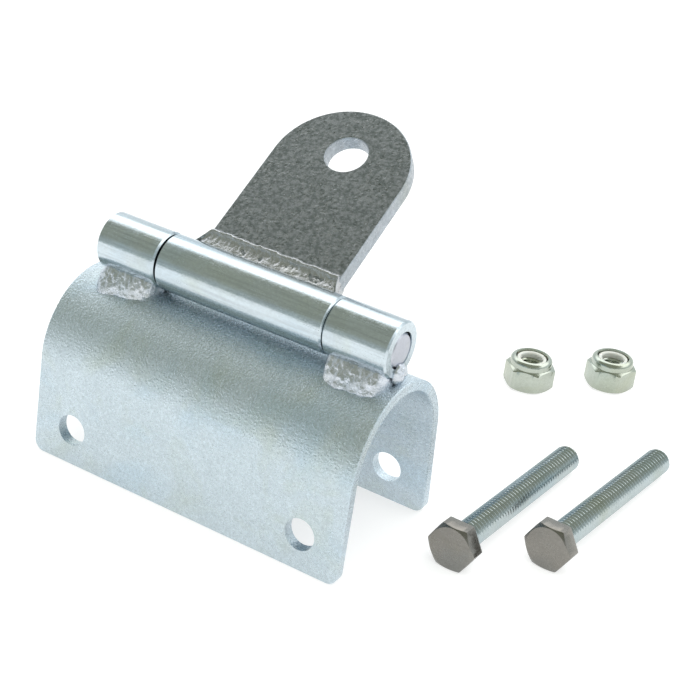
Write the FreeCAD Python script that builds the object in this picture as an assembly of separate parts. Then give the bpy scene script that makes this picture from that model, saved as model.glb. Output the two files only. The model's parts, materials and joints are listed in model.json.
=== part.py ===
import FreeCAD, Part
import math
import os

# Hinged saddle bracket: a bent plate drops over a round tube, and an eye tab swings on a pin along
# the crown. Two bolts and two nylon-insert lock nuts lie loose beside it.
# Millimetres. +Z is up and +X runs along the tube. The origin is the centre of the tube seat, at
# mid length of the saddle.

V = FreeCAD.Vector
X_AXIS = V(1, 0, 0)
Y_AXIS = V(0, 1, 0)
Z_AXIS = V(0, 0, 1)

# ---- saddle, 1/8 in plate over a 1-1/2 in tube ----
tube_radius = 19.05
seat_clearance = 0.10
plate_thickness = 3.175
saddle_length = 101.6
seat_drop = 27.5                # seat centre down to the feet of the legs
flare = math.radians(3.75)      # each leg leans out by this much
foot_corner_radius = 3.2
cross_hole_diameter = 9.1
cross_hole_inset = 12.7         # from each end of the saddle
cross_hole_height = 10.5        # above the feet
edge_round = 0.4
tiny = 0.01                     # tolerance for picking edges
beyond = 1.0                    # how far a cut runs past the body that it cuts

# ---- hinge, 5/8 in tube on a 3/8 in pin ----
knuckle_diameter = 15.875
knuckle_bore = 10.2
knuckle_length = 19.3
barrel_length = 53.4
side_gap = 0.4                  # between the barrel and each knuckle
crown_gap = 1.2                 # between the barrel and the crown of the saddle
hinge_shift = 1.7               # the hinge sits this far to the right of mid length
pin_diameter = 9.525
pin_clearance = 0.08            # radial, in the barrel
pin_drop = 0.22                 # the pin lies this much below the knuckles' axis
pin_side = 0.20                 # and this much behind it
pin_recess = 0.1                # from the outer face of each knuckle
tube_chamfer = 0.5

# ---- eye tab ----
tab_angle = math.radians(32.0)  # above level, leaning to the back
tab_thickness = 5.0
tab_width = 41.5
tab_shift = 2.1                 # middle of the tab, to the right of mid length
tab_round_centre = 44.2         # from the hinge axis to the centre of the rounded end
tab_hole_centre = 49.4
tab_hole_diameter = 12.2

# ---- welds ----
weld_inset = 0.3
knuckle_toe = math.radians(38)  # below level, on the knuckle
crown_toe = math.radians(27)    # off the top, on the crown
weld_root = 1.5                 # half width of the open root under a knuckle
tab_toe = 13.2                  # from the hinge axis, on the tab
barrel_toe = math.radians(24)   # off the tab, on the barrel
pin_weld_radius = 2.9

# ---- fasteners, 5/16-18 x 2-1/2 in bolts and heavy lock nuts ----
thread_diameter = 7.94
thread_minor = 6.7
bolt_length = 63.5
head_across_flats = 12.7
head_height = 5.3
bearing_height = 0.4            # washer face under the head
bearing_share = 0.95            # of the distance across the flats
bolt_chamfer = 0.8
nut_across_flats = 14.29
nut_height = 9.9
nut_hex_height = 7.2
collar_wall = 1.35
lip_overhang = 0.3               # how far the rolled lip reaches over the ring
lip_thickness = 0.55
ring_height = 2.0
ring_bore = 7.1
ring_diameter = 10.8
# floor place of each bolt head's bearing face, and the way its tip points, in degrees from +X
bolt_places = [(69.0, 8.0, 88.0), (89.0, 25.5, 86.5)]
nut_places = [(38.5, 110.5, 14.0), (58.5, 129.5, 14.0)]

inner_radius = tube_radius + seat_clearance
outer_radius = inner_radius + plate_thickness
floor = -seat_drop
knuckle_radius = knuckle_diameter / 2
pin_height = outer_radius + crown_gap + knuckle_radius
knuckle_height = pin_height + pin_drop
knuckle_side = -pin_side
barrel_left = hinge_shift - barrel_length / 2
barrel_right = hinge_shift + barrel_length / 2
left_end = barrel_left - side_gap - knuckle_length
right_end = barrel_right + side_gap + knuckle_length
ring_seat = nut_height - lip_thickness - ring_height


def line(a, b):
    return Part.LineSegment(a, b).toShape()


def prism(points, direction):
    """Extrude a closed polygon."""
    wire = Part.makePolygon(points + [points[0]])
    return Part.Face(wire).extrude(direction)


def rod(radius, x0, x1, z, y=0.0):
    """Solid cylinder along X."""
    return Part.makeCylinder(radius, x1 - x0, V(x0, y, z), X_AXIS)


def round_edges(shape, radius, wanted):
    """Fillet every edge whose middle point passes the test."""
    edges = [e for e in shape.Edges if wanted(e)]
    return shape.makeFillet(radius, edges)


def middle(edge):
    first, last = edge.ParameterRange
    return edge.valueAt((first + last) / 2)


def tube(bore, x0, x1, z, y=0.0):
    """Hinge tube along X, with both rims chamfered outside."""
    body = rod(knuckle_radius, x0, x1, z, y)
    rims = [e for e in body.Edges if isinstance(e.Curve, Part.Circle)]
    return body.makeChamfer(tube_chamfer, rims).cut(rod(bore / 2, x0, x1, z, y))


def hexagon(across_flats, height):
    """Hex prism on the origin, along +Z, with a flat facing -Y."""
    corner = across_flats / 2 / math.cos(math.pi / 6)
    turns = [i * math.pi / 3 for i in range(6)]
    points = [V(corner * math.cos(turn), corner * math.sin(turn), 0) for turn in turns]
    return prism(points, V(0, 0, height))


def corner_cone(across_flats, height, both_ends):
    """Body that trims the corners of a hex prism to the usual 30 degree chamfer."""
    flat = across_flats / 2
    corner = flat / math.cos(math.pi / 6)
    drop = (corner - flat) * math.tan(math.pi / 6)
    foot = flat if both_ends else corner
    profile = [V(0, 0, 0), V(foot, 0, 0), V(corner, 0, drop if both_ends else 0)]
    profile += [V(corner, 0, height - drop), V(flat, 0, height), V(0, 0, height)]
    points = [p for i, p in enumerate(profile) if i == 0 or p != profile[i - 1]]
    return Part.Face(Part.makePolygon(points + [points[0]])).revolve(V(0, 0, 0), Z_AXIS, 360)


def saddle_section(radius, side):
    """Where the arch meets a leg, and the leg's level foot, on the skin of the given radius."""
    out = V(0, side * math.cos(flare), math.sin(flare))
    down = V(0, side * math.sin(flare), -math.cos(flare))
    leg = (seat_drop + radius * math.sin(flare)) / math.cos(flare)
    return out * radius, out * radius + down * leg


def make_saddle():
    start = V(-saddle_length / 2, 0, 0)
    skins = []
    for radius in (outer_radius, inner_radius):
        near_bend, near_foot = saddle_section(radius, -1)
        far_bend, far_foot = saddle_section(radius, 1)
        skins.append((near_foot + start, near_bend + start, V(0, 0, radius) + start,
                      far_bend + start, far_foot + start))
    edges = []
    for near_foot, near_bend, top, far_bend, far_foot in skins:
        edges.append(line(near_foot, near_bend))
        edges.append(Part.Arc(near_bend, top, far_bend).toShape())
        edges.append(line(far_bend, far_foot))
    edges.append(line(skins[0][0], skins[1][0]))
    edges.append(line(skins[0][4], skins[1][4]))
    wire = Part.Wire(Part.__sortEdges__(edges))
    body = Part.Face(wire).extrude(V(saddle_length, 0, 0))

    def foot_corner(edge):
        m = middle(edge)
        return m.z < floor + tiny and abs(m.x) > saddle_length / 2 - tiny

    body = round_edges(body, foot_corner_radius, foot_corner)

    def on_a_skin(edge):
        m = middle(edge)
        side = 1 if m.y > 0 else -1
        offset = side * m.y * math.cos(flare) + m.z * math.sin(flare)
        if m.z > outer_radius * math.sin(flare):
            offset = math.hypot(m.y, m.z)
        on_skin = min(abs(offset - outer_radius), abs(offset - inner_radius)) < tiny
        bend_line = abs(m.x) < tiny and m.z > floor + tiny
        return on_skin and not bend_line

    body = round_edges(body, edge_round, on_a_skin)
    reach = 2 * outer_radius        # clears both legs
    for side in (-1, 1):
        x = side * (saddle_length / 2 - cross_hole_inset)
        start = V(x, -reach, floor + cross_hole_height)
        body = body.cut(Part.makeCylinder(cross_hole_diameter / 2, 2 * reach, start, Y_AXIS))
    return body


def make_pin():
    body = rod(pin_diameter / 2, left_end + pin_recess, right_end - pin_recess, pin_height)
    rims = [e for e in body.Edges if isinstance(e.Curve, Part.Circle)]
    return body.makeChamfer(tube_chamfer, rims)


def swing(shape):
    """Turn a shape built level, pointing to +Y from the hinge axis, up to the tab's angle."""
    shape.translate(V(0, 0, pin_height))
    shape.rotate(V(0, 0, pin_height), X_AXIS, math.degrees(tab_angle))
    return shape


def make_tab():
    half = tab_width / 2
    left, right = tab_shift - half, tab_shift + half
    low = -tab_thickness / 2
    root = knuckle_radius / 2
    corners = [V(left, root, low), V(left, tab_round_centre, low),
               V(right, tab_round_centre, low), V(right, root, low)]
    edges = [line(corners[0], corners[1])]
    edges.append(Part.Arc(corners[1], V(tab_shift, tab_round_centre + half, low), corners[2]).toShape())
    edges.append(line(corners[2], corners[3]))
    edges.append(line(corners[3], corners[0]))
    body = Part.Face(Part.Wire(edges)).extrude(V(0, 0, tab_thickness))
    eye_centre = V(tab_shift, tab_hole_centre, low)
    body = body.cut(Part.makeCylinder(tab_hole_diameter / 2, tab_thickness, eye_centre))

    def face_edge(edge):
        m = middle(edge)
        return abs(abs(m.z) - tab_thickness / 2) < tiny and m.y > root + tiny

    body = round_edges(body, edge_round, face_edge)
    return swing(body.cut(rod(knuckle_radius, left - beyond, right + beyond, 0)))


def make_tab_weld(side):
    """Fillet weld in the corner between the barrel and one face of the tab."""
    left = tab_shift - tab_width / 2 + weld_inset
    face = side * tab_thickness / 2
    up = V(left, knuckle_radius * math.cos(barrel_toe), side * knuckle_radius * math.sin(barrel_toe))
    points = [V(left, tab_toe, face), up, V(left, up.y, face)]
    body = prism(points, V(tab_width - 2 * weld_inset, 0, 0))
    return swing(body.cut(rod(knuckle_radius, left - beyond, left + tab_width, 0)))


def make_knuckle_weld(x0, x1, side):
    """Fillet weld in the corner between a knuckle and the crown, on one side."""
    on_knuckle = V(x0, knuckle_side + side * knuckle_radius * math.cos(knuckle_toe),
                   knuckle_height - knuckle_radius * math.sin(knuckle_toe))
    on_crown = V(x0, side * outer_radius * math.sin(crown_toe), outer_radius * math.cos(crown_toe))
    root_top = V(x0, side * weld_root, knuckle_height - knuckle_radius + weld_root)
    root_low = V(x0, side * weld_root, outer_radius - weld_root)
    body = prism([on_knuckle, on_crown, root_low, root_top], V(x1 - x0, 0, 0))
    body = body.cut(rod(knuckle_radius, x0 - beyond, x1 + beyond, knuckle_height, knuckle_side))
    return body.cut(rod(outer_radius, x0 - beyond, x1 + beyond, 0))


def make_pin_weld(face, side):
    """Tack on a knuckle's outer face that ties the pin, the knuckle and the crown together."""
    centre = V(face, 0, knuckle_height - knuckle_radius + weld_root)
    body = Part.makeSphere(pin_weld_radius, centre)
    reach = pin_weld_radius + beyond
    outside = Part.makeBox(reach, 2 * reach, 2 * reach)
    outside.translate(V(face if side > 0 else face - reach, -reach, centre.z - reach))
    return body.common(outside).cut(rod(outer_radius, -saddle_length, saddle_length, 0))


def lay_down(shape, place):
    """Lay an upright bolt on the floor, resting on a flat of its head and on its tip."""
    x, y, heading = place
    tip = bolt_length - bolt_chamfer
    drop = head_across_flats / 2 - thread_diameter / 2
    tilt = math.atan2(drop, tip + bearing_height)
    shape.rotate(V(0, 0, 0), Y_AXIS, 90 + math.degrees(tilt))
    lift = head_across_flats / 2 * math.cos(tilt) - bearing_height * math.sin(tilt)
    shape.rotate(V(0, 0, 0), Z_AXIS, heading)
    shape.translate(V(x, y, floor + lift))
    return shape


def make_bolt(place):
    """Hex bolt, built upright with its tip up, then laid on the floor."""
    head = hexagon(head_across_flats, head_height - bearing_height)
    head = head.common(corner_cone(head_across_flats, head_height - bearing_height, False))
    head.rotate(V(0, 0, 0), X_AXIS, 180)
    head.translate(V(0, 0, -bearing_height))
    head.rotate(V(0, 0, 0), Z_AXIS, 90)
    washer_radius = head_across_flats / 2 * bearing_share
    washer = Part.makeCylinder(washer_radius, bearing_height, V(0, 0, -bearing_height))
    shank = Part.makeCylinder(thread_diameter / 2, bolt_length)
    tip_edges = [e for e in shank.Edges if isinstance(e.Curve, Part.Circle) and middle(e).z > tiny]
    shank = shank.makeChamfer(bolt_chamfer, tip_edges)
    return lay_down(head.fuse([washer, shank]).removeSplitter(), place)


def stand(shape, place):
    """Stand a nut or its ring on the floor."""
    x, y, turn = place
    shape.rotate(V(0, 0, 0), Z_AXIS, turn)
    shape.translate(V(x, y, floor))
    return shape


def make_nut(place):
    """Hex lock nut with a round collar that holds the nylon ring."""
    body = hexagon(nut_across_flats, nut_hex_height)
    body = body.common(corner_cone(nut_across_flats, nut_hex_height, True))
    collar_radius = ring_diameter / 2 + collar_wall
    collar = Part.makeCylinder(collar_radius, nut_height - nut_hex_height, V(0, 0, nut_hex_height))
    body = body.fuse(collar)
    body = body.cut(Part.makeCylinder(thread_minor / 2, nut_height))
    body = body.cut(Part.makeCylinder(ring_diameter / 2, ring_height, V(0, 0, ring_seat)))
    body = body.cut(Part.makeCylinder(ring_diameter / 2 - lip_overhang, nut_height, V(0, 0, ring_seat)))
    return stand(body, place)


def make_ring(place):
    """Nylon insert under the nut's collar."""
    body = Part.makeCylinder(ring_diameter / 2, ring_height, V(0, 0, ring_seat))
    return stand(body.cut(Part.makeCylinder(ring_bore / 2, nut_height)), place)


knuckle_spans = {
    "left": (left_end, barrel_left - side_gap),
    "right": (barrel_right + side_gap, right_end),
}

parts = {
    "saddle": make_saddle(),
    "hinge_pin": make_pin(),
    "hinge_barrel": tube(pin_diameter + 2 * pin_clearance, barrel_left, barrel_right, pin_height),
    "eye_tab": make_tab(),
    "tab_weld_upper": make_tab_weld(1),
    "tab_weld_lower": make_tab_weld(-1),
    "left_pin_weld": make_pin_weld(left_end, -1),
    "right_pin_weld": make_pin_weld(right_end, 1),
}
for name, (x0, x1) in knuckle_spans.items():
    parts[name + "_knuckle"] = tube(knuckle_bore, x0, x1, knuckle_height, knuckle_side)
    parts[name + "_weld_front"] = make_knuckle_weld(x0 + weld_inset, x1 - weld_inset, -1)
    parts[name + "_weld_rear"] = make_knuckle_weld(x0 + weld_inset, x1 - weld_inset, 1)
for number, place in enumerate(bolt_places, 1):
    parts["bolt_%d" % number] = make_bolt(place)
for number, place in enumerate(nut_places, 1):
    parts["lock_nut_%d" % number] = make_nut(place)
    parts["nylon_ring_%d" % number] = make_ring(place)

os.makedirs("parts", exist_ok=True)
for name, shape in parts.items():
    solid = shape.Solids[0] if len(shape.Solids) == 1 else shape
    print(name, len(shape.Solids), shape.isValid(), round(shape.Volume, 1))
    solid.exportStep("parts/%s.step" % name)
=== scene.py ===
import json
import math

import bmesh
import bpy
from mathutils import Matrix, Vector, noise


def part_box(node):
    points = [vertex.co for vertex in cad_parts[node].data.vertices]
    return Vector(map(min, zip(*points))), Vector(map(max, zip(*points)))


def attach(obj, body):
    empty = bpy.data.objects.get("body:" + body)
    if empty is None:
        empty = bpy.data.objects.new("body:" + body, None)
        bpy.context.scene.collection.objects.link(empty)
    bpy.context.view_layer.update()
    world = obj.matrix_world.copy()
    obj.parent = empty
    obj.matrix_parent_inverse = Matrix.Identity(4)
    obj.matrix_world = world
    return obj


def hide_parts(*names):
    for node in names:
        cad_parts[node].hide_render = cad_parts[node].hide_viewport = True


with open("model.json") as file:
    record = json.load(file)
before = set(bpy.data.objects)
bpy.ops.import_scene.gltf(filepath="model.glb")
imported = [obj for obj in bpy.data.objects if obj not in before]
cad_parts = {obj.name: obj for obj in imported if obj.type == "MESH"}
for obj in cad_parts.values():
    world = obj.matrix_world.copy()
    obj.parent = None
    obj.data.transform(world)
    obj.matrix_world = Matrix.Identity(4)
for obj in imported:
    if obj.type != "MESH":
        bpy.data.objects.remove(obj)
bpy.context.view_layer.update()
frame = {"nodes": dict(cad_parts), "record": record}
nodes = frame["nodes"]

MM = 0.001

# ---- places taken from the frame ----
saddle_lo, saddle_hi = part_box("saddle")
barrel_lo, barrel_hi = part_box("hinge_barrel")
floor = saddle_lo.z
crown_radius = saddle_hi.z                       # the origin is the centre of the tube seat
hinge_z = (barrel_lo.z + barrel_hi.z) / 2
tube_radius = (barrel_hi.z - barrel_lo.z) / 2
mounts = {m["name"]: m for m in frame["record"]["mounts"]}
eye = Vector(mounts["tab_eye"]["pos_m"])
tab_angle = math.atan2(eye.z - hinge_z, eye.y)   # slope of the tab, from the level


# ---- material helpers ----
MIX_FACTOR, MIX_A, MIX_B, MIX_RESULT = 0, 6, 7, 2    # places of a colour Mix node's sockets


class Wiring:
    """Short names for building a node tree."""

    def __init__(self, tree):
        self.tree = tree

    def link(self, source, target):
        self.tree.links.new(source, target)

    def ramp(self, source, low, high, out_low=0.0, out_high=1.0):
        """Maps low..high to out_low..out_high, and holds it there outside."""
        node = self.tree.nodes.new("ShaderNodeMapRange")
        node.inputs["From Min"].default_value = low
        node.inputs["From Max"].default_value = high
        node.inputs["To Min"].default_value = out_low
        node.inputs["To Max"].default_value = out_high
        self.link(source, node.inputs["Value"])
        return node.outputs["Result"]

    def math(self, kind, a, b):
        """One step of arithmetic on two values, each given as a number or a socket."""
        node = self.tree.nodes.new("ShaderNodeMath")
        node.operation = kind
        for socket, value in zip(node.inputs, (a, b)):
            if isinstance(value, (int, float)):
                socket.default_value = value
            else:
                self.link(value, socket)
        return node.outputs[0]

    def mix(self, factor, a, b):
        """Blend of two colours, each given as a colour or a socket."""
        node = self.tree.nodes.new("ShaderNodeMix")
        node.data_type = "RGBA"
        self.link(factor, node.inputs[MIX_FACTOR])
        for socket, value in ((node.inputs[MIX_A], a), (node.inputs[MIX_B], b)):
            if isinstance(value, tuple):
                socket.default_value = (*value, 1.0)
            else:
                self.link(value, socket)
        return node.outputs[MIX_RESULT]

    def along(self, vector, direction):
        """How far a vector reaches along a direction."""
        node = self.tree.nodes.new("ShaderNodeVectorMath")
        node.operation = "DOT_PRODUCT"
        node.inputs[1].default_value = direction
        self.link(vector, node.inputs[0])
        return node.outputs["Value"]


class Paint(Wiring):
    """A new material, with patterns that lie in the space of its piece."""

    def __init__(self, name):
        self.material = bpy.data.materials.new(name)
        self.material.use_nodes = True
        super().__init__(self.material.node_tree)
        self.shader = self.tree.nodes["Principled BSDF"]
        self.coordinates = self.tree.nodes.new("ShaderNodeTexCoord")
        self.place = self.coordinates.outputs["Object"]

    def scaled(self, scale, turn=(0, 0, 0)):
        """The place of a point, scaled along each axis and turned."""
        node = self.tree.nodes.new("ShaderNodeMapping")
        node.inputs["Scale"].default_value = scale
        node.inputs["Rotation"].default_value = turn
        self.link(self.place, node.inputs["Vector"])
        return node.outputs["Vector"]

    def noise(self, size_mm, detail=2.0, rough=0.5, place=None, warp=0.0):
        """Noise with features of about size_mm."""
        node = self.tree.nodes.new("ShaderNodeTexNoise")
        node.inputs["Scale"].default_value = 1000.0 / size_mm
        node.inputs["Detail"].default_value = detail
        node.inputs["Roughness"].default_value = rough
        node.inputs["Distortion"].default_value = warp
        self.link(place or self.place, node.inputs["Vector"])
        return node.outputs["Fac"]

    def cells(self, size_mm):
        """A random value in each cell of about size_mm."""
        node = self.tree.nodes.new("ShaderNodeTexVoronoi")
        node.inputs["Scale"].default_value = 1000.0 / size_mm
        self.link(self.place, node.inputs["Vector"])
        return node.outputs["Color"]

    def facing(self, direction):
        """1 on the flat faces that look along a direction of the piece, either way, and 0 on its edges; it
        masks painted shade.
        """
        reach = self.along(self.coordinates.outputs["Normal"], direction)
        return self.ramp(self.math("ABSOLUTE", reach, 0.0), 0.80, 0.97)

    def bump(self, height, depth_mm, strength=1.0, below=None):
        """Relief of a height pattern, on top of another relief if one is given."""
        node = self.tree.nodes.new("ShaderNodeBump")
        node.inputs["Strength"].default_value = strength
        node.inputs["Distance"].default_value = depth_mm * MM
        self.link(height, node.inputs["Height"])
        if below is not None:
            self.link(below, node.inputs["Normal"])
        return node.outputs["Normal"]


# ---- materials ----
DARK_TINT = (0.62, 0.62, 0.62)                   # what each tint leaves of a tone's red, green and blue
OLIVE_TINT = (0.88, 0.87, 0.74)
BLUE_TINT = (0.82, 0.92, 1.0)
MOTTLE = 0.10                                    # largest share of the dark clouds
WAVE_MM = 14.0                                   # length of the slow waves in the plating
HAIR_DEPTH = 0.003
HAIR_HAZE = 0.10                                 # what a hairline adds to the roughness


def tinted(tone, tint):
    return tuple(a * b for a, b in zip(tone, tint))


def zinc(name, tone, rough, grain_mm=0.5, grain_depth=0.010, wave_depth=0.03, speckle=0.22, streak=0.0,
         haze=0.10, painted_face_shade=None, face_normal=None):
    """Bright zinc plating over steel: cloudy tints, a speckled grain, hairlines and drawing streaks.

    rough is the range of the roughness, and haze is what the grain's flakes add to it. speckle and streak are
    the largest shares of dark tone in the grain and in the streaks. The face tone, dark and pale, is painted
    shade: it darkens the faces that look along face_normal, either way. Depths are in millimetres.
    """
    t = Paint(name)
    dark = tinted(tone, DARK_TINT)
    clouds = t.noise(11.0, detail=5.0, rough=0.62, warp=0.5)
    colour = t.mix(t.ramp(clouds, 0.38, 0.66, 0.0, MOTTLE), tone, dark)
    clouds = t.noise(17.0, detail=3.0, rough=0.55, warp=0.9)
    colour = t.mix(t.ramp(clouds, 0.50, 0.70, 0.0, 0.55), colour, tinted(tone, OLIVE_TINT))
    clouds = t.noise(23.0, detail=3.0, rough=0.50, warp=0.6)
    colour = t.mix(t.ramp(clouds, 0.50, 0.72, 0.0, 0.60), colour, tinted(tone, BLUE_TINT))
    speck = t.ramp(t.noise(grain_mm * 1.5, detail=4.0, rough=0.70), 0.40, 0.60)
    colour = t.mix(t.ramp(speck, 0.0, 1.0, speckle, 0.0), colour, dark)
    # painted shade: the faces that look along face_normal get a darker tone than the rest of the piece
    if painted_face_shade:
        face = t.mix(t.ramp(speck, 0.0, 1.0), *painted_face_shade)
        colour = t.mix(t.facing(face_normal), colour, face)
    streaks = t.noise(0.9, detail=3.0, rough=0.6, place=t.scaled((0.05, 1.0, 1.0)))
    colour = t.mix(t.ramp(streaks, 0.45, 0.65, 0.0, streak), colour, dark)
    t.link(colour, t.shader.inputs["Base Color"])
    t.shader.inputs["Metallic"].default_value = 1.0

    gloss = t.ramp(t.noise(6.0, detail=4.0, rough=0.6), 0.35, 0.65, *rough)
    flakes = t.ramp(t.cells(grain_mm * 0.9), 0.15, 0.85)
    gloss = t.math("ADD", gloss, t.math("MULTIPLY", flakes, haze))
    hairs = t.noise(0.35, detail=2.0, rough=0.5, place=t.scaled((0.03, 1.0, 1.0), (0.4, 0.3, 0.7)))
    hairs = t.ramp(hairs, 0.62, 0.72)
    t.link(t.math("ADD", gloss, t.math("MULTIPLY", hairs, HAIR_HAZE)), t.shader.inputs["Roughness"])

    waves = t.bump(t.noise(WAVE_MM, detail=2.0, rough=0.45), wave_depth)
    grain = t.bump(t.noise(grain_mm, detail=4.0, rough=0.62), grain_depth, below=waves)
    t.link(t.bump(hairs, HAIR_DEPTH, 0.6, grain), t.shader.inputs["Normal"])
    return t.material


def nylon_material():
    """Milky plastic, slightly see-through and a little uneven."""
    t = Paint("natural_nylon")
    cloud = t.noise(2.5, detail=3.0, rough=0.5)
    t.link(t.mix(cloud, (0.62, 0.63, 0.58), (0.78, 0.79, 0.75)), t.shader.inputs["Base Color"])
    gloss = t.noise(0.8, detail=3.0, rough=0.6)
    t.link(t.ramp(gloss, 0.3, 0.7, 0.28, 0.45), t.shader.inputs["Roughness"])
    t.shader.inputs["Subsurface Weight"].default_value = 0.25
    t.shader.inputs["Subsurface Radius"].default_value = (1.0, 0.9, 0.8)
    t.shader.inputs["Subsurface Scale"].default_value = 1.2 * MM
    t.link(t.bump(t.noise(0.5), 0.01), t.shader.inputs["Normal"])
    return t.material


plate_zinc = zinc("zinc_plate", tone=(0.60, 0.69, 0.75), rough=(0.16, 0.22), grain_mm=0.60,
                  grain_depth=0.270, speckle=0.30, haze=0.16)
# the tab's two flat faces carry painted shade, darker than its edges
tab_zinc = zinc("zinc_tab", tone=(0.42, 0.46, 0.50), rough=(0.20, 0.28), grain_mm=0.75,
                grain_depth=0.120, speckle=0.40, haze=0.25,
                painted_face_shade=((0.13, 0.15, 0.15), (0.26, 0.28, 0.29)),
                face_normal=(0.0, -math.sin(tab_angle), math.cos(tab_angle)))
tube_zinc = zinc("zinc_tube", tone=(0.60, 0.68, 0.73), rough=(0.10, 0.15), grain_depth=0.016,
                 wave_depth=0.012, streak=0.40, haze=0.12)
weld_zinc = zinc("zinc_weld", tone=(0.66, 0.70, 0.76), rough=(0.14, 0.24), grain_mm=1.0,
                 grain_depth=0.30, speckle=0.30)
pin_zinc = zinc("zinc_pin", tone=(0.52, 0.54, 0.60), rough=(0.26, 0.34), grain_depth=0.004,
                wave_depth=0.004)
tab_weld_zinc = zinc("zinc_tab_weld", tone=(0.50, 0.52, 0.54), rough=(0.14, 0.24), grain_mm=0.9,
                     grain_depth=0.16, speckle=0.45)
bolt_zinc = zinc("zinc_bolt", tone=(0.48, 0.54, 0.55), rough=(0.12, 0.20), grain_depth=0.003,
                 wave_depth=0.004)
# the head's darker tone is painted shade on the same zinc as the shank
head_shade_zinc = zinc("zinc_bolt_head_painted_shade", tone=(0.25, 0.24, 0.22), rough=(0.20, 0.28), grain_depth=0.010,
                 wave_depth=0.012)
nut_zinc = zinc("zinc_nut", tone=(0.46, 0.50, 0.44), rough=(0.10, 0.18), grain_depth=0.004,
                wave_depth=0.012)
nylon = nylon_material()


def repaint(name, material):
    """Gives a CAD node a finished material."""
    slots = nodes[name].material_slots
    if not slots:
        nodes[name].data.materials.append(material)
    for each in nodes[name].material_slots:
        each.material = material


for name in nodes:
    if name == "saddle":
        repaint(name, plate_zinc)
    elif name == "eye_tab":
        repaint(name, tab_zinc)
    elif "weld" in name:
        repaint(name, weld_zinc)
    elif name.startswith("bolt"):
        repaint(name, bolt_zinc)
    elif name.startswith("lock_nut"):
        repaint(name, nut_zinc)
    elif name.startswith("nylon"):
        repaint(name, nylon)
    elif name == "hinge_pin":
        repaint(name, pin_zinc)
    else:
        repaint(name, tube_zinc)


# ---- mesh helpers; pieces are drawn in millimetres ----
FASTENER_SHARP = 30.0                            # edges that turn by more degrees than this stay sharp
NYLON_SHARP = 40.0
WELD_SHARP = 180.0


def limit(value, low, high):
    return max(low, min(high, value))


def put(name, data):
    """A new object in the scene."""
    made = bpy.data.objects.new(name, data)
    bpy.context.scene.collection.objects.link(made)
    return made


def skin(rings, ring_loop=False):
    """Joins rings of points with quads. A ring of one point closes an end; ring_loop joins last to first."""
    mesh = bmesh.new()
    rows = [[mesh.verts.new(p) for p in ring] for ring in rings]
    pairs = list(zip(rows, rows[1:]))
    if ring_loop:
        pairs.append((rows[-1], rows[0]))
    for low, high in pairs:
        count = max(len(low), len(high))
        for i in range(count):
            j = (i + 1) % count
            corners = [low[i % len(low)], low[j % len(low)], high[j % len(high)], high[i % len(high)]]
            mesh.faces.new(list(dict.fromkeys(corners)))
    bmesh.ops.recalc_face_normals(mesh, faces=mesh.faces)
    return mesh


def piece(name, mesh, materials, body, stands_for, sharp, place=Matrix.Identity(4)):
    """Turns a bmesh in millimetres into a finished piece in the frame."""
    data = bpy.data.meshes.new(name)
    mesh.transform(Matrix.Scale(MM, 4) @ place)
    mesh.to_mesh(data)
    mesh.free()
    for material in materials:
        data.materials.append(material)
    data.shade_smooth()
    data.set_sharp_from_angle(angle=math.radians(sharp))
    made = put(name, data)
    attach(made, body)
    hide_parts(stands_for)
    return made


def lathe_ring(columns, point):
    """A ring about Z; point gives the radius and the height at each angle."""
    ring = []
    for i in range(columns):
        angle = 2 * math.pi * i / columns
        radius, height = point(angle)
        ring.append(Vector((radius * math.cos(angle), radius * math.sin(angle), height)))
    return ring


def round_ring(columns, radius, height):
    return lathe_ring(columns, lambda angle: (radius, height))


# ---- hexagons, as on the bolts' heads and the nuts ----
HEX_HARDNESS = 70                                # the higher, the sharper the hexagon's corners
SLOPE = math.tan(math.radians(30))               # of the chamfer
EDGE = 0.06                                      # rounding where the chamfer meets the sides
CHAMFER_STEPS = (0.5, 0.93, 1.0)


def hex_radius(half_flats, angle):
    """Outline of a hexagon with a flat facing angle 0 and slightly rounded corners."""
    total = sum(max(0.0, math.cos(angle - k * math.pi / 3)) ** HEX_HARDNESS for k in range(6))
    return half_flats / total ** (1 / HEX_HARDNESS)


def chamfer_ring(columns, face, side, share, height, way):
    """A ring on the chamfer between a round face and the hexagon's sides, a share of the way across.

    face is the round face's radius and height its height. way is 1 if the hexagon is above it, or else -1.
    """
    rounding = EDGE if share == 1.0 else 0.0

    def point(angle):
        reach = (side(angle) - face) * share
        return face + reach, height + way * (reach * SLOPE + rounding)

    return lathe_ring(columns, point)


# ---- bolts: 5/16-18 x 2-1/2 in, laid as in the frame ----
PITCH = 25.4 / 18
MAJOR = 3.97                                     # radius of the thread's crests
THREAD_DEPTH = 0.72
CREST_SHARE = 0.14                               # shares of half a pitch: the flat crest and the flank
FLANK_SHARE = 0.70
THREAD_START = 0.5                               # height where the thread starts, and how far it deepens
THREAD_RUN_IN = 1.6
BOLT_LENGTH = 63.5
TIP_CHAMFER = 0.8
TIP_EDGE, TIP_EDGE_DROP = 0.35, 0.02             # rounding of the tip's end face
TIP_DISH = 0.12
HEAD_FLATS = 12.7
HEAD_HEIGHT = 5.3
HEAD_FACE = 0.95                                 # radius of the head's two round faces, by half its flats
HEAD_DISH = 0.03
HEAD_EDGE = 0.22                                 # rounding of the edge under the head
BEARING = 0.4                                    # height of the washer face
WASHER_EDGE = 0.08
NECK_FILLET, NECK_MIDDLE = 0.35, 0.10            # between the washer face and the shank
HEAD_SHADE_BELOW = -0.05                        # faces under this height get the head's darker tone, which is painted shade
BOLTS = {"bolt_1": (69.0, 8.0, 88.0), "bolt_2": (89.0, 25.5, 86.5)}    # X, Y and heading in degrees


def thread_wave(height, angle):
    """0 on the crest and 1 in the root of a right-hand thread."""
    phase = (height / PITCH - angle / (2 * math.pi)) % 1.0
    rise = abs(2 * phase - 1)
    return limit((rise - CREST_SHARE) / FLANK_SHARE, 0.0, 1.0)


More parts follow.
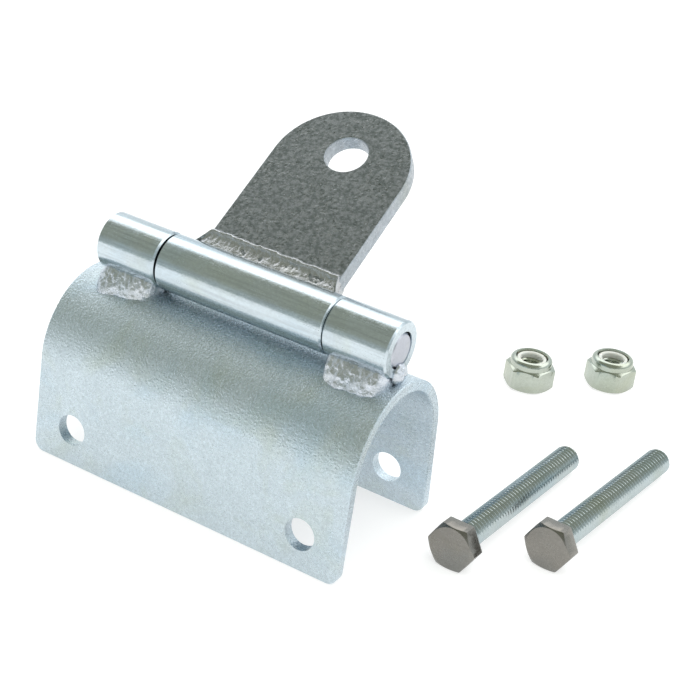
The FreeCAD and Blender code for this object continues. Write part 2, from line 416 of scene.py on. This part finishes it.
def bolt_mesh():
    """A bolt along Z, with its washer face at height 0 and its head below."""
    columns, rows = 60, 10                       # round the bolt, and along each pitch
    flat = HEAD_FLATS / 2
    face = HEAD_FACE * flat

    def side(angle):
        return hex_radius(flat, angle)

    rings = [[Vector((0, 0, -HEAD_HEIGHT))]]
    for share in (0.5, 0.97, 1.0):
        rings.append(round_ring(columns, face * share, HEAD_DISH * (1 - share) - HEAD_HEIGHT))
    for share in CHAMFER_STEPS:
        rings.append(chamfer_ring(columns, face, side, share, -HEAD_HEIGHT, 1))
    for inset, drop in ((0.0, HEAD_EDGE), (EDGE, EDGE), (HEAD_EDGE, 0.0)):
        rings.append(lathe_ring(columns, lambda a, i=inset, d=drop: (side(a) - i, -BEARING - d)))
    for radius, height in ((face, -BEARING), (face, -WASHER_EDGE), (face - WASHER_EDGE, 0.0),
                           (MAJOR + NECK_FILLET, 0.0), (MAJOR + NECK_MIDDLE, NECK_MIDDLE),
                           (MAJOR, NECK_FILLET)):
        rings.append(round_ring(columns, radius, height))
    threaded = BOLT_LENGTH - THREAD_START
    count = int(threaded / PITCH * rows)
    for row in range(count + 1):
        height = THREAD_START + threaded * row / count
        depth = THREAD_DEPTH * limit((height - THREAD_START) / THREAD_RUN_IN, 0.0, 1.0)
        chamfer = MAJOR - TIP_CHAMFER + (BOLT_LENGTH - height)
        rings.append(lathe_ring(columns, lambda a, h=height, d=depth, c=chamfer: (
            min(MAJOR - d * thread_wave(h, a), c), h)))
    rings.append(round_ring(columns, MAJOR - TIP_CHAMFER - TIP_EDGE, BOLT_LENGTH - TIP_EDGE_DROP))
    rings.append([Vector((0, 0, BOLT_LENGTH - TIP_DISH))])
    mesh = skin(rings)
    for each in mesh.faces:
        # the head's faces take the second material, with painted shade
        if each.calc_center_median().z < HEAD_SHADE_BELOW:
            each.material_index = 1
    return mesh


def add_bolts():
    """Each bolt rests on the edge of one flat of its head and on its tip, so it tilts a little."""
    drop = HEAD_FLATS / 2 - MAJOR
    tilt = math.atan2(drop, BOLT_LENGTH - TIP_CHAMFER + BEARING)
    lift = HEAD_FLATS / 2 * math.cos(tilt) - BEARING * math.sin(tilt)
    for name, (x, y, heading) in BOLTS.items():
        place = (Matrix.Translation((x, y, floor / MM + lift))
                 @ Matrix.Rotation(math.radians(heading), 4, "Z")
                 @ Matrix.Rotation(math.pi / 2 + tilt, 4, "Y"))
        piece("hex_" + name, bolt_mesh(), [bolt_zinc, head_shade_zinc], "loose_" + name, name,
              FASTENER_SHARP, place)


# ---- lock nuts and their nylon rings ----
NUT_COLUMNS = 72
NUT_FLATS = 14.29
NUT_HEX_HEIGHT = 7.2
NUT_HEIGHT = 9.9
NUT_FACE = 0.965                                 # radius of the nut's round faces, by half its flats
RING_OUTER = 5.4
RING_BORE = 3.55
RING_HEIGHT = 2.0
RING_INSET = 0.6                                 # the drawn ring is slimmer, to clear the pocket's wall
COLLAR_WALL = 1.35
ROLL_START = 8.6                                 # height where the collar starts to roll in
ROLL_STEPS = 8
ROLL_SHORT = 0.12                                # how far the roll stops short of the lip
DENTS = 12                                       # shallow tool marks round the roll
DENT_DEPTH = 0.05
LIP = 0.3
THREAD_MINOR = 3.35
NUT_THREAD_DEPTH = 0.58
FLARE_LOW, FLARE_HIGH = 0.75, 0.5                # countersinks at the thread's two ends
MOUTH = 0.35                                     # how far the lower one opens past the major radius
RING_TOP = NUT_HEIGHT - 0.55
NUT_TURN = 14.0


def nut_mesh():
    """A nut that stands on height 0, hollow, with its rings of points closed in a loop."""
    rows = 50
    flat = NUT_FLATS / 2
    face = NUT_FACE * flat
    collar = RING_OUTER + COLLAR_WALL
    lip = RING_OUTER - LIP
    seat = RING_TOP - RING_HEIGHT

    def side(angle):
        return hex_radius(flat, angle - math.pi / 6)

    def plain(*profile):
        return [round_ring(NUT_COLUMNS, radius, height) for radius, height in profile]

    rings = plain((face, 0.0))
    for share in CHAMFER_STEPS:
        rings.append(chamfer_ring(NUT_COLUMNS, face, side, share, 0.0, 1))
    for share in reversed(CHAMFER_STEPS):
        rings.append(chamfer_ring(NUT_COLUMNS, face, side, share, NUT_HEX_HEIGHT, -1))
    rings += plain((face, NUT_HEX_HEIGHT))
    # collar: a shallow groove at its foot, a straight wall, and a lip rolled in over the ring
    rings += plain((collar + 0.20, NUT_HEX_HEIGHT - 0.04), (collar - 0.02, NUT_HEX_HEIGHT + 0.10),
                   (collar, NUT_HEX_HEIGHT + 0.40), (collar, ROLL_START))
    roll = collar - lip - ROLL_SHORT
    for step in range(1, ROLL_STEPS + 1):
        turn = math.pi / 2 * step / ROLL_STEPS
        height = ROLL_START + (NUT_HEIGHT - ROLL_START) * math.sin(turn)
        radius = collar - roll * (1 - math.cos(turn))
        dent = DENT_DEPTH * step / ROLL_STEPS
        rings.append(lathe_ring(NUT_COLUMNS, lambda a, r=radius, h=height, d=dent: (
            r - d * (0.5 + 0.5 * math.cos(DENTS * a)), h)))
    # the lip's inner edge, and the pocket that holds the ring
    rings += plain((lip + 0.08, NUT_HEIGHT - 0.08), (lip, NUT_HEIGHT - 0.25), (lip, RING_TOP - 0.15),
                   (lip - 0.2, seat), (MAJOR - 0.1, seat))
    # the thread, from the top down
    for row in range(rows):
        height = seat * (1 - row / rows)
        flare = max(0.0, FLARE_LOW - height, height - (seat - FLARE_HIGH))
        rings.append(lathe_ring(NUT_COLUMNS, lambda a, h=height, f=flare: (
            max(THREAD_MINOR + NUT_THREAD_DEPTH * thread_wave(h, a), THREAD_MINOR + f), h)))
    rings += plain((MAJOR + MOUTH, 0.0))
    return skin(rings, ring_loop=True)


def ring_mesh():
    """Nylon ring: flat on top with rounded inner edges, sunk under the rolled lip."""
    low = RING_TOP - RING_HEIGHT
    outer = RING_OUTER - RING_INSET
    profile = [
        (outer, low),
        (outer, RING_TOP - 0.35),
        (outer - 0.15, RING_TOP - 0.08),
        (RING_BORE + 0.75, RING_TOP),
        (RING_BORE + 0.35, RING_TOP - 0.05),
        (RING_BORE + 0.10, RING_TOP - 0.25),
        (RING_BORE, RING_TOP - 0.60),
        (RING_BORE, low + 0.3),
        (RING_BORE + 0.15, low),
    ]
    return skin([round_ring(NUT_COLUMNS, radius, height) for radius, height in profile], ring_loop=True)


def add_nuts():
    for number in (1, 2):
        seat = Vector(mounts["nut_%d_thread" % number]["pos_m"]) / MM
        place = (Matrix.Translation((seat.x, seat.y, floor / MM))
                 @ Matrix.Rotation(math.radians(NUT_TURN), 4, "Z"))
        body = "loose_nut_%d" % number
        nut = "lock_nut_%d" % number
        ring = "nylon_ring_%d" % number
        piece("threaded_" + nut, nut_mesh(), [nut_zinc], body, nut, FASTENER_SHARP, place)
        piece("fitted_" + ring, ring_mesh(), [nylon], body, ring, NYLON_SHARP, place)


# ---- weld beads ----
KNUCKLE_R = tube_radius / MM
CROWN_R = crown_radius / MM
HINGE_Z = hinge_z / MM
KNUCKLE_Y, KNUCKLE_Z = (sum(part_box("left_knuckle"), Vector()) / 2 / MM).yz

BEAD_STEP = 0.22                                 # between a bead's rings
BEAD_NOSE = 1.6                                  # length of the round nose at each end of its relief
LUMPS = ((2.3, 1.0, 0), (1.2, 0.8, 3), (0.6, 0.55, 0))    # size in mm, weight, and step of the seed
RIPPLE_PITCH = 1.6
RIPPLE_BEND = 0.8
TOE_SINK = 0.12                                  # how deep a bead's toe lies in what it is welded to


def lumps(point, size, seed):
    """Smooth noise between -1 and 1 with features of the given size."""
    return noise.noise(Vector(point) / size + Vector((seed * 7.3, seed * 3.1, seed * 5.7)))


def spread(values, share):
    """Straight-line blend through evenly spaced values."""
    place = limit(share, 0.0, 0.9999) * (len(values) - 1)
    index = int(place)
    return values[index] + (values[index + 1] - values[index]) * (place - index)


def end_taper(x, x0, x1, reach):
    """1 along a bead, falling off in a round nose at each end."""
    near = limit(min(x - x0, x1 - x) / reach, 0.0, 1.0)
    return math.sqrt(1 - (1 - near) ** 2)


def bead_relief(spot, seed, relief, ripple):
    """How far a bead's surface stands out at a spot: lumps of three sizes, and ripples along the bead."""
    height = relief * sum(weight * lumps(spot, size, seed + step) for size, weight, step in LUMPS)
    bent_x = spot[0] + RIPPLE_BEND * lumps(spot, 3.0, seed + 9)
    return height + ripple * math.sin(bent_x * 2 * math.pi / RIPPLE_PITCH)


def bead(x0, x1, section, seed, relief, ripple):
    """A weld bead along X. section(x) gives its outline from toe to toe, and then the point in its root."""
    rings = []
    stations = int((x1 - x0) / BEAD_STEP)
    for i in range(stations + 1):
        x = x0 + (x1 - x0) * i / stations
        outline, root = section(x)
        taper = end_taper(x, x0, x1, BEAD_NOSE)
        ring = []
        last = len(outline) - 1
        for k, (y, z) in enumerate(outline):
            ahead = Vector(outline[min(k + 1, last)]) - Vector(outline[max(k - 1, 0)])
            out = Vector((ahead.y, -ahead.x)).normalized()
            middle = Vector((y, z)) - Vector(root)
            if out.dot(middle) < 0:
                out = -out
            height = bead_relief((x, y, z), seed, relief, ripple)
            height *= math.sin(math.pi * k / last) ** 0.6 * taper
            ring.append(Vector((x, y + out.x * height, z + out.y * height)))
        ring.append(Vector((x, root[0], root[1])))
        rings.append(ring)
    first, final = rings[0], rings[-1]
    ends = [[sum(first, Vector()) / len(first)], [sum(final, Vector()) / len(final)]]
    return skin([ends[0]] + rings + [ends[1]])


# ---- welds between the knuckles and the crown ----
KNUCKLE_TOE = 50.0                               # degrees round the knuckle that a full-size weld covers
CROWN_TOE = 27.0                                 # and round the crown
END_SIZE = 0.22                                  # a weld's size at its very ends
END_REACH = 2.6
ROOT_OUT = 1.2
BULGE = 0.55
WELD_SIZES = {"left": (1.02, 1.0, 0.92, 0.80, 0.72), "right": (0.78, 1.0, 0.98, 0.92, 0.85)}
KNUCKLE_RELIEF, KNUCKLE_RIPPLE = 0.42, 0.03


def knuckle_section(side, seed, x0, x1, sizes):
    """Outline of the fillet between a knuckle and the crown, bulging a little outwards."""
    steps = 18

    def section(x):
        size = END_SIZE + (1 - END_SIZE) * end_taper(x, x0, x1, END_REACH)
        high_waver = 1 + 0.06 * lumps((x, 0, 0), 2.4, seed)
        low_waver = 1 + 0.07 * lumps((x, 5, 0), 2.6, seed + 1)
        high = math.radians(90 - KNUCKLE_TOE * size * high_waver)
        low = math.radians(CROWN_TOE * size * spread(sizes, (x - x0) / (x1 - x0)) * low_waver)
        top = Vector((KNUCKLE_Y + side * (KNUCKLE_R - TOE_SINK) * math.cos(high),
                      KNUCKLE_Z - (KNUCKLE_R - TOE_SINK) * math.sin(high)))
        foot = Vector((side * (CROWN_R - TOE_SINK) * math.sin(low), (CROWN_R - TOE_SINK) * math.cos(low)))
        root = (side * ROOT_OUT, (CROWN_R + KNUCKLE_Z - KNUCKLE_R) / 2)
        across = foot - top
        out = Vector((across.y, -across.x)).normalized()
        if out.x * side < 0:
            out = -out
        outline = []
        for k in range(steps + 1):
            share = k / steps
            point = top + across * share + out * BULGE * size * math.sin(math.pi * share)
            outline.append((point.x, point.y))
        return outline, root

    return section


def add_knuckle_welds():
    for knuckle in ("left", "right"):
        low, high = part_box(knuckle + "_weld_front")
        x0, x1 = low.x / MM, high.x / MM
        for place, side in (("front", -1), ("rear", 1)):
            node = "%s_weld_%s" % (knuckle, place)
            seed = 11 + len(knuckle) + 4 * side
            section = knuckle_section(side, seed, x0, x1, WELD_SIZES[knuckle])
            mesh = bead(x0, x1, section, seed, KNUCKLE_RELIEF, KNUCKLE_RIPPLE)
            piece("bead_" + node, mesh, [weld_zinc], "bracket", node, WELD_SHARP)


# ---- welds between the barrel and the tab ----
TAB_THICKNESS = 5.0
TAB_TOE = 13.2                                   # the weld's toe on the tab, from the hinge's axis
SWEEP_LEFT = 5.6                                 # how far the bead runs on past the CAD weld's ends
SWEEP_RIGHT = 2.2
SWEEP_HEIGHT = 0.30                              # the weld's height at the very ends, as a share
TOE_SINK_TAB = 0.10
SHOULDER_BACK = 0.9                              # from the toe back to the top of its step
SHOULDER_SHARE = 0.2                             # share of the outline that the step takes
CREST_HEIGHT = 1.05
CREST_CENTRE = 0.26                              # share of the outline, from the toe
CREST_WIDTH = 0.17
TAB_RELIEF, TAB_RIPPLE = 0.16, 0.02


def turned(along, above):
    """A point along the tab and above its middle, turned to the tab's slope, as Y and Z."""
    return (along * math.cos(tab_angle) - above * math.sin(tab_angle),
            HINGE_Z + along * math.sin(tab_angle) + above * math.cos(tab_angle))


def tab_section(side, seed, x0, x1):
    """Shallow fillet between the barrel and a face of the tab, crested at its toe, with swept ends."""
    steps = 22
    half = TAB_THICKNESS / 2

    def section(x):
        inside = limit(min((x - x0) / SWEEP_LEFT, (x1 - x) / SWEEP_RIGHT), 0.0, 1.0)
        reach = inside ** 2.2
        toe = KNUCKLE_R + (TAB_TOE - KNUCKLE_R) * reach * (1 + 0.07 * lumps((x, 0, 0), 2.2, seed) * inside)
        height = half * (SWEEP_HEIGHT + (1 - SWEEP_HEIGHT) * inside ** 0.6)
        rise = math.asin(height * 1.06 / KNUCKLE_R)
        rise *= 1 + 0.06 * lumps((x, 3, 0), 3.4, seed + 2) * inside
        low = height - TOE_SINK_TAB if inside > 0.999 else height * 0.2
        start = Vector((toe, low))
        end = Vector(((KNUCKLE_R - TOE_SINK) * math.cos(rise), (KNUCKLE_R - TOE_SINK) * math.sin(rise)))
        shoulder = Vector((max(toe - SHOULDER_BACK, end.x + 0.1), height))
        outline = []
        for k in range(steps + 1):
            share = k / steps
            near = limit(share / SHOULDER_SHARE, 0.0, 1.0)
            if share < SHOULDER_SHARE:
                point = start.lerp(shoulder, near)
            else:
                point = shoulder.lerp(end, (share - SHOULDER_SHARE) / (1 - SHOULDER_SHARE))
            crest = CREST_HEIGHT * math.exp(-((share - CREST_CENTRE) / CREST_WIDTH) ** 2) * inside * near
            point += Vector((0, crest))
            outline.append(turned(point.x, point.y * side))
        return outline, turned(KNUCKLE_R * 0.90, side * height * 0.1)

    return section


def add_tab_welds():
    low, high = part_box("tab_weld_upper")
    x0, x1 = low.x / MM - SWEEP_LEFT, high.x / MM + SWEEP_RIGHT
    for place, side in (("upper", 1), ("lower", -1)):
        node = "tab_weld_" + place
        seed = 30 + side
        mesh = bead(x0, x1, tab_section(side, seed, x0, x1), seed, TAB_RELIEF, TAB_RIPPLE)
        piece("bead_" + node, mesh, [tab_weld_zinc], "swing_tab", node, WELD_SHARP)


# ---- tack welds at the pin's ends ----
TACK_RADIUS = 2.9
TACK_DEPTH = 1.7
TACK_RISE = 1.4                                  # the tack's centre above the knuckle's lowest line
TACK_SINK = 0.3                                  # depth of its root in the knuckle's end
TACK_RINGS, TACK_COLUMNS = 14, 40


def add_pin_welds():
    """Tack on each outer face that ties the pin, the knuckle and the crown together."""
    centre = KNUCKLE_Z - KNUCKLE_R + TACK_RISE
    for knuckle, side in (("left", -1), ("right", 1)):
        node = knuckle + "_pin_weld"
        low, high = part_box(node)
        face = (low.x if side > 0 else high.x) / MM
        rings = [[Vector((face - side * TACK_SINK, 0, centre))]]
        for i in range(TACK_RINGS):
            turn = math.pi / 2 * i / (TACK_RINGS - 1)
            reach = TACK_RADIUS * math.cos(turn) + 0.02
            sink = 0.1 if i == 0 else 0.0
            ring = []
            for k in range(TACK_COLUMNS):
                angle = 2 * math.pi * k / TACK_COLUMNS
                spot = (side * 20, reach * math.cos(angle), reach * math.sin(angle))
                grow = 1 + 0.22 * lumps(spot, 1.7, 5 + side)
                depth = TACK_DEPTH * math.sin(turn) * (1 + 0.5 * lumps(spot, 1.3, 8 + side)) - sink
                ring.append(Vector((face + side * depth, spot[1] * grow, centre + spot[2] * grow)))
            rings.append(ring)
        rings.append([sum(rings[-1], Vector()) / len(rings[-1])])
        piece("tack_" + node, skin(rings), [weld_zinc], "bracket", node, WELD_SHARP)


add_bolts()
add_nuts()
add_knuckle_welds()
add_tab_welds()
add_pin_welds()


# ---- studio ----
FLOOR_HALF = 3.0                                 # metres
FLOOR_GAP = 0.02 * MM                            # below what stands on it
FLOOR_GREY = 0.50
FLOOR_GLOW = 0.64

CEILING_LEAN = 29.0                              # degrees
CEILING_EDGE = (0.61, 0.69)                      # where the ceiling starts and is full, along its own axis
PANEL_EDGE = (0.50, 0.62)                        # the same for the bright panel, upwards
REAR_EDGE = (-0.55, 0.15)                        # and for the rear wall, backwards
CEILING_TONE = (0.39, 0.41, 0.34)
FRONT_TONE = (0.50, 0.55, 0.53)
REAR_TONE = (0.92, 0.98, 1.0)
PANEL_TONE = (2.2, 2.2, 2.2)

CAMERA_AZIMUTH = 28.87                           # degrees
CAMERA_ELEVATION = 27.83
CAMERA_ROLL = 7.13
CAMERA_DISTANCE = 436.0 * MM
CAMERA_TARGET = Vector((33.2 * MM, 0.0, floor + 53.65 * MM))
LENS = 86.94
SENSOR = 36.0


def view_from(azimuth, elevation):
    """Direction towards a camera or a light; azimuth 0 is straight in front, and it turns to the right."""
    return Vector((math.sin(azimuth) * math.cos(elevation),
                   -math.cos(azimuth) * math.cos(elevation), math.sin(elevation)))


def add_floor():
    mesh = bpy.data.meshes.new("floor")
    z = floor - FLOOR_GAP
    corners = [(x * FLOOR_HALF, y * FLOOR_HALF, z) for x, y in ((-1, -1), (1, -1), (1, 1), (-1, 1))]
    mesh.from_pydata(corners, [], [(0, 1, 2, 3)])
    plane = put("floor", mesh)
    material = bpy.data.materials.new("pale_floor")
    material.use_nodes = True
    shader = material.node_tree.nodes["Principled BSDF"]
    shader.inputs["Base Color"].default_value = (FLOOR_GREY, FLOOR_GREY, FLOOR_GREY, 1)
    shader.inputs["Roughness"].default_value = 0.9
    shader.inputs["Specular IOR Level"].default_value = 0.0
    shader.inputs["Emission Color"].default_value = (1, 1, 1, 1)
    shader.inputs["Emission Strength"].default_value = FLOOR_GLOW
    mesh.materials.append(material)


def add_room():
    """Pale rear wall with a bright panel above it, grey front, and a dark ceiling that leans to the front."""
    world = bpy.data.worlds.new("studio")
    bpy.context.scene.world = world
    world.use_nodes = True
    room = Wiring(world.node_tree)
    view = room.tree.nodes.new("ShaderNodeTexCoord").outputs["Generated"]
    axes = room.tree.nodes.new("ShaderNodeSeparateXYZ")
    room.link(view, axes.inputs[0])
    lean = math.radians(CEILING_LEAN)
    up = room.along(view, (0.0, -math.sin(lean), math.cos(lean)))
    rear = room.mix(room.ramp(axes.outputs["Z"], *PANEL_EDGE), REAR_TONE, PANEL_TONE)
    walls = room.mix(room.ramp(axes.outputs["Y"], *REAR_EDGE), FRONT_TONE, rear)
    colour = room.mix(room.ramp(up, *CEILING_EDGE), walls, CEILING_TONE)
    room.link(colour, room.tree.nodes["Background"].inputs["Color"])


def add_sun(strength, elevation, azimuth, width):
    """A broad sun that gives no highlights."""
    data = bpy.data.lights.new("soft_key", "SUN")
    data.energy = strength
    data.angle = math.radians(width)
    data.specular_factor = 0.0
    light = put("soft_key", data)
    light.visible_glossy = False
    towards = view_from(math.radians(azimuth), math.radians(elevation))
    light.rotation_mode = "QUATERNION"
    light.rotation_quaternion = towards.to_track_quat("Z", "Y")


def add_camera():
    """Long lens, a little above and to the right, rolled about seven degrees."""
    roll = math.radians(CAMERA_ROLL)
    back = view_from(math.radians(CAMERA_AZIMUTH), math.radians(CAMERA_ELEVATION))
    level = (-back).cross(Vector((0, 0, 1))).normalized()
    rise = level.cross(-back)
    right = level * math.cos(roll) + rise * math.sin(roll)
    up = rise * math.cos(roll) - level * math.sin(roll)
    data = bpy.data.cameras.new("camera")
    data.sensor_width = SENSOR
    data.lens = LENS
    data.clip_start = 0.01
    camera = put("camera", data)
    turn = Matrix((right, up, back)).transposed()
    camera.matrix_world = Matrix.Translation(CAMERA_TARGET + back * CAMERA_DISTANCE) @ turn.to_4x4()
    bpy.context.scene.camera = camera


add_floor()
add_room()
add_sun(strength=1.2, elevation=75.0, azimuth=20.0, width=60.0)
add_camera()
bpy.context.scene.view_settings.view_transform = "Standard"
